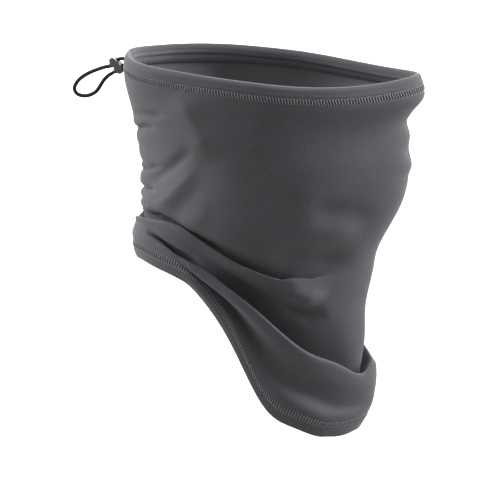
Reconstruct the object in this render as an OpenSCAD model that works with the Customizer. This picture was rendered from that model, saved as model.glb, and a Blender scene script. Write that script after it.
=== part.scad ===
// Neck gaiter: a stretch softshell tube with a drawcord in the top hem and a spring cord lock.
// Millimetres. +X is the wearer's front, +Y the wearer's left, +Z up.
// The origin is the centre of the top opening, at the height of its rim.

/* [Garment] */
// Front-to-back size of the top opening
rim_depth = 214; // [205:1:225]
// Side-to-side size of the top opening
rim_width = 122; // [115:1:130]
// Height of the rim's top edge above the origin, at the back
rim_rise_back = 6; // [4:0.5:8]
// Height of the rim's top edge above the origin, at the front
rim_rise_front = 3; // [1:0.5:5]
// Drop from the rim to the bottom edge at the back
back_drop = 148; // [140:1:156]
// Drop from the rim to the bottom edge at the front
front_drop = 262; // [250:1:272]
// Thickness of the softshell fabric
fabric_t = 1.2; // [1:0.1:1.4]
// Depth of the folded top hem, which holds the drawcord
top_hem = 13; // [12:0.5:15]
// Clear width between the layers of the top hem
channel_w = 3.4; // [3.2:0.1:3.6]

/* [Thread] */
// Diameter of the sewing thread
thread_d = 0.6; // [0.4:0.1:0.8]
// Height of a hem stitch
stitch_h = 3.4; // [3:0.2:4]
// Stitches in each half of a hem
stitches_per_half = 48; // [40:2:56]

/* [Drawcord] */
// Diameter of the elastic drawcord
cord_d = 2.5; // [2.3:0.1:2.5]
// Height of the upper cord strand where it leaves the hem
strand_high = 1.2; // [1:0.1:1.4]
// Height of the lower cord strand where it leaves the hem
strand_low = -3.1; // [-3.3:0.1:-2.9]
// Half width of the slit in the back seam that lets the cord out
slit_half_w = 1.5; // [1.4:0.1:1.7]

/* [Cord lock] */
// Length of the lock, along its row of cord holes
lock_len = 13.4; // [13:0.2:14]
// Thickness of the lock, along the cord
lock_t = 4.5; // [4.5:0.1:4.8]
// Distance between the two cord holes
hole_pitch = 5.2; // [5.2:0.1:5.6]
// Diameter of the cord holes in the lock's housing
hole_d = 2.9; // [2.8:0.1:3]
// Travel of the button
press_travel = 1.6; // [1.2:0.1:1.8]
// Downward slope of the cord strands through the lock, in degrees
strand_slope = 39; // [37:1:41]
// Gap round the plunger in the housing
plunger_gap = 0.06; // [0.04:0.01:0.1]

/* [Hidden] */

shell_grey = [0.30, 0.30, 0.33];
thread_grey = [0.55, 0.55, 0.58];
cord_black = [0.05, 0.05, 0.05];
lock_grey = [0.42, 0.42, 0.42];

// Stations of the fabric from the rim down to the bottom edge. Each is: half depth behind and
// drop behind, half depth in front and drop in front, half width, and how late the side of the
// garment drops from the back height to the front height.
stations = [
    [1.000, 0.000, 1.000, 0.000, 1.000, 0.00],   // rim
    [0.990, 0.115, 1.016, 0.072, 1.012, 0.00],   // nose
    [0.925, 0.330, 0.905, 0.130, 1.000, 0.00],   // upper lip
    [0.890, 0.520, 0.920, 0.240, 0.985, 0.00],   // chin
    [0.890, 0.650, 0.870, 0.350, 0.965, 0.10],   // throat
    [0.900, 0.730, 0.760, 0.450, 0.940, 0.20],   // neck
    [0.890, 0.780, 0.660, 0.530, 0.905, 0.30],   // valley behind the first fold
    [0.930, 0.765, 0.645, 0.555, 0.935, 0.30],   // crest of the first fold
    [0.935, 0.800, 0.615, 0.680, 0.910, 0.45],   // band below the first fold
    [0.905, 0.835, 0.600, 0.780, 0.865, 0.60],   // where the band goes behind the cowl
    [0.895, 0.875, 0.595, 0.865, 0.850, 0.62],   // bottom of the pocket behind the cowl
    [0.940, 0.845, 0.665, 0.825, 0.905, 0.68],   // crest of the cowl
    [0.950, 0.890, 0.700, 0.875, 0.920, 0.82],   // outside of the cowl
    [0.905, 1.000, 0.500, 1.000, 0.820, 1.00]];  // bottom edge
side_wait_back = 64;
side_wait_front = 40;
wall_substeps = 3;
panel_steps = 20;
bottom_hem_share = 0.6;
bottom_layer_gap = 0.8;
inset_top = channel_w + fabric_t;
slit_top = 3.2;
slit_low = -5.2;

// Vector helpers
function unit(v) = v / norm(v);
function smooth(t) = let (c = min(1, max(0, t))) c * c * (3 - 2 * c);
function spline(p0, p1, p2, p3, t) =
    0.5 * (2 * p1 + (p2 - p0) * t + (2 * p0 - 5 * p1 + 4 * p2 - p3) * t * t
    + (3 * p1 - p0 - 3 * p2 + p3) * t * t * t);

// A ring of the fabric in millimetres: back x, back z, front x, front z, half width, lateness
function ring(s) = [-rim_depth / 2 * s[0], rim_rise_back - back_drop * s[1],
    rim_depth / 2 * s[2], rim_rise_front - front_drop * s[3], rim_width / 2 * s[4], s[5]];

// The same ring moved inwards by n and down by d
function inset(r, n, d) = [r[0] + n, r[1] - d, r[2] - n, r[3] - d, r[4] - n, r[5]];

// Point of a ring at the angle a, from 0 at the centre back to 180 at the centre front
function ring_point(r, a) =
    let (mid = (r[0] + r[2]) / 2, half = (r[2] - r[0]) / 2,
        wait = side_wait_back * r[5],
        t = smooth((a - wait) / (180 - wait - side_wait_front * r[5])))
    [mid - half * cos(a), r[4] * sin(a), r[1] + (r[3] - r[1]) * t];

last_station = len(stations) - 1;
wall_rings = [for (i = [1 : last_station - 1]) for (k = [0 : wall_substeps - 1])
    ring(spline(stations[i - 1], stations[i], stations[i + 1],
        stations[min(i + 2, last_station)], k / wall_substeps))];
rim_ring = ring(stations[0]);
edge_ring = ring(stations[last_station]);
above_edge = wall_rings[len(wall_rings) - 1];
hem_top_inner = edge_ring + (above_edge - edge_ring) * bottom_hem_share * wall_substeps;

// Rings that the cut cloth runs through: up the inner layer of the top hem, over the rim,
// down the wall, round the bottom edge and up the inner layer of the bottom hem
top_fold = [for (d = [top_hem, 9, 5, 2.4]) inset(rim_ring, inset_top, d)];
rim_turn = [inset(rim_ring, inset_top * 0.85, 0.7), inset(rim_ring, inset_top / 2, 0),
    inset(rim_ring, inset_top * 0.15, 0.7)];
slit_rings = [for (d = [rim_rise_back - slit_top, (rim_rise_back - slit_low + 2) / 2,
    rim_rise_back - slit_low]) inset(rim_ring, 0, d)];
bottom_turn = [inset(edge_ring, 0, 0), inset(edge_ring, 0.6, 0.9),
    inset(edge_ring, bottom_layer_gap + fabric_t - 0.6, 0.9),
    inset(edge_ring, bottom_layer_gap + fabric_t, 0)];
bottom_fold = [for (k = [0.35, 0.7, 1]) inset(edge_ring + (hem_top_inner - edge_ring) * k,
    bottom_layer_gap + fabric_t, 0)];
cloth = concat(top_fold, rim_turn, [inset(rim_ring, 0, 2)], slit_rings,
    [inset(rim_ring, 0, 12)], wall_rings, bottom_turn, bottom_fold);
first_slit = len(top_fold) + len(rim_turn) + 1;
function in_slit(i) = i >= first_slit && i < first_slit + len(slit_rings);

// Outward normal of the cloth at ring i and angle a
function cloth_normal(i, a) =
    let (hi = cloth[max(i - 1, 0)], lo = cloth[min(i + 1, len(cloth) - 1)],
        down = ring_point(lo, a) - ring_point(hi, a),
        along = ring_point(cloth[i], a + 1) - ring_point(cloth[i], a - 1))
    unit(cross(along, down));

// Point of the cloth at ring i and angle a, off its middle surface by n
function cloth_point(i, a, n) =
    let (p = ring_point(cloth[i], a) + cloth_normal(i, a) * n)
    [p[0], in_slit(i) ? max(p[1], slit_half_w) : abs(p[1]), p[2]];

// Triangles of a solid swept through n closed loops of k points, without its ends
function sweep_faces(n, k) = [for (j = [0 : n - 2]) for (i = [0 : k - 1])
    let (a = j * k + i, b = j * k + (i + 1) % k, c = a + k, d = b + k)
    each [[a, c, b], [b, c, d]]];

// Ends of a strip whose loops run down one face and back up the other
function strip_end(start, k) = [for (i = [0 : k / 2 - 2])
    let (a = start + i, b = start + i + 1, c = start + k - 1 - i, d = start + k - 2 - i)
    each [[a, b, c], [b, d, c]]];
function flipped(faces) = [for (f = faces) [f[0], f[2], f[1]]];

module cloth_half() {
    n = len(cloth);
    loops = [for (j = [0 : panel_steps]) let (a = 180 * j / panel_steps)
        concat([for (i = [0 : n - 1]) cloth_point(i, a, fabric_t / 2)],
            [for (i = [n - 1 : -1 : 0]) cloth_point(i, a, -fabric_t / 2)])];
    points = [for (l = loops) each l];
    faces = concat(sweep_faces(panel_steps + 1, 2 * n), strip_end(0, 2 * n),
        flipped(strip_end(panel_steps * 2 * n, 2 * n)));
    polyhedron(points, faces, convexity = 8);
}

// A tube of sides facets and radius r along a route
module tube(route, r, sides) {
    n = len(route);
    dirs = [for (i = [0 : n - 1]) unit(route[min(i + 1, n - 1)] - route[max(i - 1, 0)])];
    points = [for (i = [0 : n - 1])
        let (across = unit(cross(dirs[i], tube_up(dirs))), up = cross(across, dirs[i]))
        for (s = [0 : sides - 1])
            route[i] + r * (across * cos(360 * s / sides) + up * sin(360 * s / sides))];
    near_end = [for (s = [1 : sides - 2]) [0, s, s + 1]];
    far_end = [for (f = near_end) [for (k = [0, 2, 1]) f[k] + (n - 1) * sides]];
    polyhedron(points, concat(sweep_faces(n, sides), near_end, far_end), convexity = 8);
}
// The fixed side direction of a route that lies in the XZ plane, or in flat rings about Z
function tube_up(dirs) = max([for (d = dirs) abs(d[2])]) > 0.5 ? [0, 1, 0] : [0, 0, 1];

// A straight piece of thread between two points
module thread(p, q) {
    v = q - p;
    translate(p) rotate([0, acos(v[2] / norm(v)), atan2(v[1], v[0])])
        cylinder(h = norm(v), d = thread_d, $fn = 16);
}

module both_sides() {
    children();
    mirror([0, 1, 0]) children();
}

module left_panel() {
    color(shell_grey) cloth_half();
}

module right_panel() {
    color(shell_grey) mirror([0, 1, 0]) cloth_half();
}

// Overlock stitches across a seam, on the inside of the wall
module seam_thread(angle, first) {
    seam_half = 2.2;
    lift = fabric_t / 2 + thread_d / 2 - 0.1;
    last = len(cloth) - len(bottom_turn) - len(bottom_fold) - 2;
    for (i = [first : last]) for (k = [0, 0.5]) {
        a = cloth_point(i, angle, -lift);
        b = cloth_point(i + 1, angle, -lift);
        p = a + (b - a) * k;
        thread([p[0], -seam_half, p[2]], [p[0], seam_half, p[2]]);
    }
}

module front_seam_thread() {
    color(thread_grey) seam_thread(180, first_slit + len(slit_rings) + 1);
}

module back_seam_thread() {
    color(thread_grey) seam_thread(0, first_slit + len(slit_rings) + 1);
}

// One ring of upright stitches on the outside of the wall, from depth d0 to d1 below the rim
module top_hem_stitching() {
    out = fabric_t / 2 + thread_d / 2 - 0.1;
    step = 180 / stitches_per_half;
    depth = top_hem - stitch_h - 1.4;
    color(thread_grey) both_sides() for (n = [1 : stitches_per_half - 1]) {
        p = ring_point(inset(rim_ring, -out, depth), n * step);
        thread(p, p - [0, 0, stitch_h]);
    }
}

// Stitches that hold the bottom hem, square to its edge
module bottom_hem_stitching() {
    out = fabric_t / 2 + thread_d / 2 - 0.1;
    step = 180 / stitches_per_half;
    i = len(cloth) - len(bottom_turn) - len(bottom_fold);
    color(thread_grey) both_sides() for (n = [1 : stitches_per_half - 1]) {
        a = cloth_point(i - 1, n * step, out);
        b = cloth_point(i, n * step, out);
        p = a + (b - a) * 0.1;
        thread(p, p + unit(b - a) * min(stitch_h, norm(b - a) * 0.8));
    }
}

// The elastic in the top hem, from one side of the slit round the front to the other
hem_cord_steps = 56;
function hem_cord_point(a) =
    let (p = ring_point(inset(rim_ring, inset_top / 2 + 0.1, 0), a > 180 ? 360 - a : a),
        share = a / 360)
    [p[0], a > 180 ? -p[1] : p[1], p[2] - (rim_rise_back - strand_low) * (1 - share)
        - (rim_rise_back - strand_high) * share];
hem_cord_gap = 1.6;

module hem_drawcord() {
    route = [for (n = [0 : hem_cord_steps])
        hem_cord_point(hem_cord_gap + (360 - 2 * hem_cord_gap) * n / hem_cord_steps)];
    color(cord_black) tube(route, cord_d / 2, 8);
}

// Thread whipping that joins the two ends of the elastic, at the centre front
module cord_splice() {
    color(thread_grey) translate(hem_cord_point(180)) rotate([90, 0, 0]) difference() {
        cylinder(h = 6, d = cord_d + 0.4, center = true, $fn = 32);
        cylinder(h = 7, d = cord_d + 0.02, center = true, $fn = 32);
    }
}

module slot_outline(half_w, low, high) {
    translate([0, low + half_w]) circle(half_w, $fn = 32);
    translate([0, high - half_w]) circle(half_w, $fn = 32);
    translate([-half_w, low + half_w]) square([2 * half_w, high - low - 2 * half_w]);
}

// Stitched edging of the slit in the back seam, where the cord comes out
module cord_slit_binding() {
    edging_w = 1;
    edging_t = 0.7;
    color(thread_grey) translate([rim_ring[0] - fabric_t / 2, 0, 0])
        rotate([90, 0, -90]) linear_extrude(edging_t) difference() {
            slot_outline(slit_half_w + edging_w, slit_low - edging_w, slit_top + edging_w);
            slot_outline(slit_half_w, slit_low, slit_top);
        }
}

// The lock's own frame: local X along the cord strands away from the hem, local Z along the
// row of holes, local Y to the wearer's left, where the button is
lock_centre = [-114.3, 0, -3];
lock_turn = [0, 180 - strand_slope, 0];
strand_dir = [-cos(strand_slope), 0, -sin(strand_slope)];
row_dir = [sin(strand_slope), 0, -cos(strand_slope)];
function in_lock(s, w) = lock_centre + strand_dir * s + row_dir * w;

half_pitch = hole_pitch / 2;
sleeve_len = 3;
sleeve_tip = lock_t / 2 + sleeve_len;

// Routes of the free cord. The loop leaves the upper sleeve and comes back to the lower one.
stub_high = [[-105.2, 0, strand_high], [-107.4, 0, strand_high], [-109.6, 0, 1.5],
    [-111.8, 0, 1.5], in_lock(-lock_t / 2 - 1, -half_pitch), in_lock(-lock_t / 2, -half_pitch)];
stub_low = [[-105.2, 0, strand_low], [-107.2, 0, strand_low], [-109, 0, -2.9],
    in_lock(-lock_t / 2 - 0.6, half_pitch), in_lock(-lock_t / 2, half_pitch)];
loop_route = [in_lock(-lock_t / 2, -half_pitch), in_lock(0, -half_pitch),
    in_lock(sleeve_tip, -half_pitch), [-123, 0, -5.7], [-128, 0, -8.2], [-133.5, 0, -11.5],
    [-138.5, 0, -15.6], [-142, 0, -19.8], [-143.6, 0, -24], [-142, 0, -27.4], [-138, 0, -28.6],
    [-133, 0, -27.6], [-128.6, 0, -24.6], [-125.8, 0, -20.2], [-123.4, 0, -15.6],
    [-120.4, 0, -11.6], in_lock(sleeve_tip, half_pitch), in_lock(0, half_pitch),
    in_lock(-lock_t / 2, half_pitch)];

module drawcord_stubs() {
    color(cord_black) {
        tube(stub_high, cord_d / 2, 8);
        tube(stub_low, cord_d / 2, 8);
    }
}

module drawcord_loop() {
    color(cord_black) tube(loop_route, cord_d / 2, 8);
}

// Plunger sizes in the lock's frame
slot_r = cord_d / 2 + 0.1;
plunger_half_x = 1.3;
plunger_half_z = half_pitch + slot_r + 0.9;
plunger_wall = 1.1;
plunger_low = -slot_r - plunger_wall;
plunger_shoulder = slot_r + press_travel + plunger_wall;
housing_floor = plunger_low - press_travel - 0.5;
housing_low = housing_floor - 0.9;
housing_high = 2.6;
button_high = housing_high + press_travel + 1.1;
spring_r = 0.6;
spring_wire_r = 0.14;
pocket_r = 0.82;
pocket_deep = 3.2;

// A bar with rounded ends along Z, between y0 and y1
module rounded_bar(half_x, half_z, y0, y1) {
    for (z = [-1, 1]) translate([0, y0, z * (half_z - half_x)])
        rotate([-90, 0, 0]) cylinder(h = y1 - y0, r = half_x, $fn = 48);
    translate([-half_x, y0, -half_z + half_x]) cube([2 * half_x, y1 - y0, 2 * (half_z - half_x)]);
}

module at_holes() {
    for (z = [-1, 1]) translate([0, 0, z * half_pitch]) rotate([0, 90, 0]) children();
}

module in_lock_frame() {
    translate(lock_centre) rotate(lock_turn) children();
}

spigot_r = 1.9;
spigot_deep = 0.7;

module lock_housing() {
    color(lock_grey) in_lock_frame() difference() {
        rounded_bar(lock_t / 2, lock_len / 2, housing_low, housing_high);
        rounded_bar(plunger_half_x + plunger_gap, plunger_half_z + plunger_gap, housing_floor,
            housing_high + 1);
        at_holes() cylinder(h = lock_t + 2, d = hole_d, center = true, $fn = 32);
        at_holes() translate([0, 0, lock_t / 2 - spigot_deep])
            cylinder(h = 2, r = spigot_r, $fn = 32);
    }
}

module lock_sleeves() {
    color(cord_black) in_lock_frame() at_holes() rotate_extrude($fn = 32)
        polygon([[hole_d / 2, lock_t / 2 - spigot_deep], [spigot_r, lock_t / 2 - spigot_deep],
            [spigot_r, lock_t / 2], [2.3, lock_t / 2], [2.3, lock_t / 2 + 0.8],
            [1.8, sleeve_tip], [hole_d / 2, sleeve_tip]]);
}

module lock_plunger() {
    color(cord_black) in_lock_frame() difference() {
        rounded_bar(plunger_half_x, plunger_half_z, plunger_low, button_high);
        for (y = [0, press_travel]) translate([0, y, 0]) at_holes()
            cylinder(h = 4, r = slot_r, center = true, $fn = 32);
        for (z = [-1, 1]) translate([-2, 0, z * half_pitch - slot_r])
            cube([4, press_travel, 2 * slot_r]);
        translate([0, plunger_low - 1, 0]) rotate([-90, 0, 0])
            cylinder(h = pocket_deep + 1, r = pocket_r, $fn = 32);
    }
}

// A helical spring between the housing's floor and the end of the plunger's pocket
spring_turns = 6;
spring_steps = 10;

module lock_spring() {
    low = housing_floor + spring_wire_r;
    high = plunger_low + pocket_deep - spring_wire_r - 0.05;
    route = [for (n = [0 : spring_turns * spring_steps])
        let (a = 360 * n / spring_steps, share = n / (spring_turns * spring_steps))
        [spring_r * cos(a), spring_r * sin(a), low + (high - low) * share]];
    color("silver") in_lock_frame() rotate([-90, 0, 0]) tube(route, spring_wire_r, 6);
}

right_panel();
left_panel();
front_seam_thread();
back_seam_thread();
top_hem_stitching();
bottom_hem_stitching();
hem_drawcord();
cord_splice();
cord_slit_binding();
drawcord_stubs();
drawcord_loop();
lock_housing();
lock_plunger();
lock_spring();
lock_sleeves();
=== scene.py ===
"""Neck gaiter: the looks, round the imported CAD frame. Metres, +X the wearer's front, +Y the left, +Z up."""
import bmesh
import bpy
import math
import numpy as np
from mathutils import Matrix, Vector


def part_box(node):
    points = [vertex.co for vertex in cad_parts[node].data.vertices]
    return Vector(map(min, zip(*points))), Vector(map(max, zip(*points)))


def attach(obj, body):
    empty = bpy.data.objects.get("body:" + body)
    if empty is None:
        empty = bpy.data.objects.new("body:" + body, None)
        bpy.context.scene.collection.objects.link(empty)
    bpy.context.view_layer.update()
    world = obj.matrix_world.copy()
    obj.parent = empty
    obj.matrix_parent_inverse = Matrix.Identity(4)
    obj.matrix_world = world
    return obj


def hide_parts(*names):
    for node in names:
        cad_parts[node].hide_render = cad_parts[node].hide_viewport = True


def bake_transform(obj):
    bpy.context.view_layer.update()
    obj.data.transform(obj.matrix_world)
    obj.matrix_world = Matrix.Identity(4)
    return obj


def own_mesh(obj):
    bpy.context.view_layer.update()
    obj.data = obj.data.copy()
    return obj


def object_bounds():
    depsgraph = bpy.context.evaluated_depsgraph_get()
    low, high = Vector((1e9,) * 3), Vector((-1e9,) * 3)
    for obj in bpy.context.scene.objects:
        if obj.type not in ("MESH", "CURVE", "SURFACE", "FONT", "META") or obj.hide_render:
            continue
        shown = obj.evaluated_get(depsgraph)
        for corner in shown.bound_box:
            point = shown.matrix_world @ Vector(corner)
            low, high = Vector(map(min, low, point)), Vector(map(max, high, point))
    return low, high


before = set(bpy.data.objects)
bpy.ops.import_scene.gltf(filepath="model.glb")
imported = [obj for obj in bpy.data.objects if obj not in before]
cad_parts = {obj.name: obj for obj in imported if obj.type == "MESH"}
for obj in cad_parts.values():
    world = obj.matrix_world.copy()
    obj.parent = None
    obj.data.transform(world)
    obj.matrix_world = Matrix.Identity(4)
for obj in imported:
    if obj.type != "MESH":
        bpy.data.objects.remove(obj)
cad_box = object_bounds()
MM = 0.001
scene = bpy.context.scene
scene.view_settings.view_transform = "Standard"

# ---- camera

VIEW_AZIMUTH = math.radians(15)
VIEW_ELEVATION = math.radians(14.2)
VIEW_DISTANCE = 3.0
VIEW_WIDTH = 0.3535
SENSOR = 36.0
# Where the frame's centre lies, right of and above the origin, in the view's own plane
VIEW_RIGHT = -0.0161
VIEW_UP = -0.1281

to_camera = Vector((math.sin(VIEW_AZIMUTH) * math.cos(VIEW_ELEVATION),
                    -math.cos(VIEW_AZIMUTH) * math.cos(VIEW_ELEVATION), math.sin(VIEW_ELEVATION)))
view_right = Vector((math.cos(VIEW_AZIMUTH), math.sin(VIEW_AZIMUTH), 0))
view_up = to_camera.cross(view_right)
look_at = view_right * VIEW_RIGHT + view_up * VIEW_UP


def make_camera():
    data = bpy.data.cameras.new("camera")
    data.sensor_width = SENSOR
    data.lens = SENSOR * VIEW_DISTANCE / VIEW_WIDTH
    camera = bpy.data.objects.new("camera", data)
    camera.location = look_at + to_camera * VIEW_DISTANCE
    camera.rotation_euler = (-to_camera).to_track_quat("-Z", "Y").to_euler()
    scene.collection.objects.link(camera)
    scene.camera = camera


make_camera()

# ---- small helpers

NEARLY_ALONG = 0.2    # sine of the angle under which a tube's line counts as lying along Y


def smooth(t):
    """0 up to t = 0, 1 from t = 1, and an even S between."""
    t = np.clip(t, 0.0, 1.0)
    return t * t * (3 - 2 * t)


def bell(x, spread):
    return np.exp(-(x / spread) ** 2)


def unit(v):
    return v / np.maximum(np.linalg.norm(v, axis=-1, keepdims=True), 1e-12)


def run_along(points):
    """Distance from the first point of a line, or row of a grid, to every point."""
    return np.linalg.norm(np.diff(points, axis=0, prepend=points[:1]), axis=-1).cumsum(0)


def between(points, run, at):
    """Where a line whose points lie at run is at the places at."""
    return np.stack([np.interp(at, run, points[:, k]) for k in range(3)], -1)


def link(name, points, faces, material=None, smooth_faces=True):
    """A mesh object of that name from points in metres and faces."""
    mesh = bpy.data.meshes.new(name)
    mesh.from_pydata([tuple(p) for p in points], [], [tuple(f) for f in faces])
    mesh.update()
    obj = bpy.data.objects.new(name, mesh)
    scene.collection.objects.link(obj)
    if material:
        mesh.materials.append(material)
    mesh.polygons.foreach_set("use_smooth", [smooth_faces] * len(mesh.polygons))
    return obj


def curve_point(p, t, at):
    """The point at parameter at of a Catmull-Rom curve through four points p, whose own parameters are t."""
    def mix(i, j, low, high):
        return (t[j] - at) / (t[j] - t[i]) * low + (at - t[i]) / (t[j] - t[i]) * high

    a, b, c = (mix(i, i + 1, p[i], p[i + 1]) for i in range(3))
    return mix(1, 2, mix(0, 2, a, b), mix(1, 3, b, c))


def spline(points, step):
    """Points about step apart on a smooth curve through the given points (centripetal Catmull-Rom)."""
    p = np.array(points, float)
    p = np.vstack([2 * p[0] - p[1], p, 2 * p[-1] - p[-2]])
    out = []
    for i in range(1, len(p) - 2):
        four = p[i - 1:i + 3]
        gaps = np.array([np.linalg.norm(b - a) for a, b in zip(four, four[1:])])
        t = np.concatenate([[0.0], np.cumsum(gaps ** 0.5)])
        n = max(2, int(round(gaps[1] / step)))
        out += [curve_point(four, t, t[1] + (t[2] - t[1]) * k / n) for k in range(n)]
    out.append(p[-2])
    return np.array(out)


def tube_mesh(line, radius, sides, bulge=None):
    """Points and faces of a capped tube along a line, in the line's unit.

    The bulge, a function of the angle round the tube and the distance along it, is added to the radius."""
    n = len(line)
    tangent = unit(np.gradient(line, axis=0))
    normal = np.zeros_like(line)
    start = np.cross(tangent[0], [0, 1, 0])
    if np.linalg.norm(start) < NEARLY_ALONG:
        start = np.cross(tangent[0], [0, 0, 1])
    normal[0] = start / np.linalg.norm(start)
    for i in range(1, n):
        v = normal[i - 1] - tangent[i] * np.dot(normal[i - 1], tangent[i])
        normal[i] = v / np.linalg.norm(v)
    across = np.cross(tangent, normal)
    along = run_along(line)
    turn = 2 * math.pi * np.arange(sides) / sides
    r = np.full((n, sides), radius)
    if bulge is not None:
        r = r + bulge(turn[None, :], along[:, None])
    points = line[:, None] + r[..., None] * (normal[:, None] * np.cos(turn)[None, :, None]
                                             + across[:, None] * np.sin(turn)[None, :, None])
    faces = []
    for i in range(0, (n - 1) * sides, sides):
        for k in range(sides):
            m = (k + 1) % sides
            faces.append((i + k, i + m, i + sides + m, i + sides + k))
    faces.append(tuple(range(sides - 1, -1, -1)))
    faces.append(tuple((n - 1) * sides + k for k in range(sides)))
    return points.reshape(-1, 3), faces


def gather(parts):
    """One list of points and faces from several."""
    points, faces, first = [], [], 0
    for p, f in parts:
        points.append(p)
        faces += [tuple(first + i for i in face) for face in f]
        first += len(p)
    return np.vstack(points), faces


def place(obj, body, node):
    """Hide the CAD node that a piece stands for, and hang the piece on the body it rides on."""
    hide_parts(node)
    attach(obj, body)
    return obj


# ---- materials


WALE = 1.0     # width of a knit column, mm
COURSE = 0.8   # height of a knit row, mm


def scaled(colour, k):
    return tuple(c * k for c in colour)


def new_material(name, colour, roughness, specular, sheen=0.0, sheen_roughness=0.5, metallic=0.0):
    m = bpy.data.materials.new(name)
    m.use_nodes = True
    shader = m.node_tree.nodes["Principled BSDF"]
    values = {"Base Color": (*colour, 1), "Roughness": roughness, "Specular IOR Level": specular,
              "Sheen Weight": sheen, "Sheen Roughness": sheen_roughness, "Metallic": metallic}
    for key, value in values.items():
        shader.inputs[key].default_value = value
    return m, m.node_tree, shader


def texture(tree, kind, at, **values):
    """A texture node that reads the coordinates at, with its inputs and settings by name."""
    n = tree.nodes.new(kind)
    for key, value in values.items():
        if key in n.inputs:
            n.inputs[key].default_value = value
        else:
            setattr(n, key, value)
    tree.links.new(at, n.inputs["Vector"])
    return n


def cloth_coordinates(tree):
    """Millimetres across and down the flat cloth."""
    at = tree.nodes.new("ShaderNodeAttribute")
    at.attribute_name = "cloth_mm"
    return at.outputs["Vector"]


def object_coordinates(tree):
    return tree.nodes.new("ShaderNodeTexCoord").outputs["Object"]


def math_node(tree, operation, a, b):
    n = tree.nodes.new("ShaderNodeMath")
    n.operation = operation
    for i, v in enumerate((a, b)):
        if isinstance(v, (int, float)):
            n.inputs[i].default_value = v
        else:
            tree.links.new(v, n.inputs[i])
    return n.outputs[0]


def mottle(tree, shader, value, colour, dark, light, from_low=0.0, from_high=1.0):
    """Base colour from dark to light times the colour, as value goes from from_low to from_high."""
    r = tree.nodes.new("ShaderNodeValToRGB")
    for element, position, k in zip(r.color_ramp.elements, (from_low, from_high), (dark, light)):
        element.position = position
        element.color = (*scaled(colour, k), 1)
    tree.links.new(value, r.inputs[0])
    tree.links.new(r.outputs[0], shader.inputs["Base Color"])


def bump(tree, shader, height, strength, distance):
    b = tree.nodes.new("ShaderNodeBump")
    b.inputs["Strength"].default_value = strength
    b.inputs["Distance"].default_value = distance
    tree.links.new(height, b.inputs["Height"])
    tree.links.new(b.outputs[0], shader.inputs["Normal"])


def knit_material(name, colour):
    """Jersey face: columns of V-shaped loops, with heathered yarn colour and broad fading."""
    m, tree, shader = new_material(name, colour, roughness=0.85, specular=0.2, sheen=0.08,
                                   sheen_roughness=0.45)
    at = cloth_coordinates(tree)
    split = tree.nodes.new("ShaderNodeSeparateXYZ")
    tree.links.new(at, split.inputs[0])
    across, down = split.outputs[0], split.outputs[1]
    row = math_node(tree, "PINGPONG", math_node(tree, "MULTIPLY", down, 1 / COURSE), 0.5)
    column = math_node(tree, "ADD", math_node(tree, "MULTIPLY", across, 1 / WALE), row)
    loops = math_node(tree, "PINGPONG", column, 0.5)
    grain = texture(tree, "ShaderNodeTexNoise", at, Scale=0.9, Detail=3.0, Roughness=0.7).outputs[0]
    broad = texture(tree, "ShaderNodeTexNoise", at, Scale=0.035, Detail=2.0, Roughness=0.5).outputs[0]
    tone = math_node(tree, "ADD", math_node(tree, "MULTIPLY", grain, 0.75),
                     math_node(tree, "MULTIPLY", broad, 0.25))
    mottle(tree, shader, tone, colour, 0.70, 1.34, 0.3, 0.7)
    height = math_node(tree, "ADD", loops, math_node(tree, "MULTIPLY", grain, 0.9))
    bump(tree, shader, height, strength=0.35, distance=0.00035)
    return m


def fleece_material(name, colour):
    """Brushed inner face: short soft nap."""
    m, tree, shader = new_material(name, colour, roughness=0.95, specular=0.1, sheen=0.25,
                                   sheen_roughness=0.6)
    at = cloth_coordinates(tree)
    nap = texture(tree, "ShaderNodeTexNoise", at, Scale=2.4, Detail=5.0, Roughness=0.7).outputs[0]
    tufts = texture(tree, "ShaderNodeTexVoronoi", at, Scale=0.7).outputs["Distance"]
    mottle(tree, shader, nap, colour, 0.75, 1.2, 0.3, 0.7)
    height = math_node(tree, "ADD", nap, math_node(tree, "MULTIPLY", tufts, 0.5))
    bump(tree, shader, height, strength=0.5, distance=0.0006)
    return m


def thread_material(name, colour, specular=0.3, sheen=0.2):
    """Spun thread with a fine twist."""
    m, tree, shader = new_material(name, colour, 0.7, specular, sheen, sheen_roughness=0.4)
    twist = texture(tree, "ShaderNodeTexWave", object_coordinates(tree), Scale=1500.0, Distortion=2.0,
                    Detail=1.0, bands_direction="DIAGONAL").outputs[0]
    mottle(tree, shader, twist, colour, 0.8, 1.15)
    bump(tree, shader, twist, strength=0.4, distance=0.0001)
    return m


def moulded_material(name, colour, roughness, specular):
    """Moulded plastic or rubber with a fine spark-eroded texture and slight scuffing."""
    m, tree, shader = new_material(name, colour, roughness, specular)
    at = object_coordinates(tree)
    fine = texture(tree, "ShaderNodeTexNoise", at, Scale=2600.0, Detail=3.0, Roughness=0.6).outputs[0]
    scuffs = texture(tree, "ShaderNodeTexNoise", at, Scale=260.0, Detail=4.0, Roughness=0.7).outputs[0]
    mottle(tree, shader, scuffs, colour, 0.85, 1.2, 0.35, 0.7)
    rough = math_node(tree, "ADD", roughness - 0.1, math_node(tree, "MULTIPLY", scuffs, 0.2))
    tree.links.new(rough, shader.inputs["Roughness"])
    bump(tree, shader, fine, strength=0.25, distance=0.0001)
    return m


def wire_material(name, colour):
    m, tree, shader = new_material(name, colour, roughness=0.3, specular=0.5, metallic=1.0)
    drawn = texture(tree, "ShaderNodeTexNoise", object_coordinates(tree), Scale=1800.0, Detail=2.0).outputs[0]
    mottle(tree, shader, drawn, colour, 0.8, 1.0)
    bump(tree, shader, drawn, strength=0.1, distance=0.00005)
    return m


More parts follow.
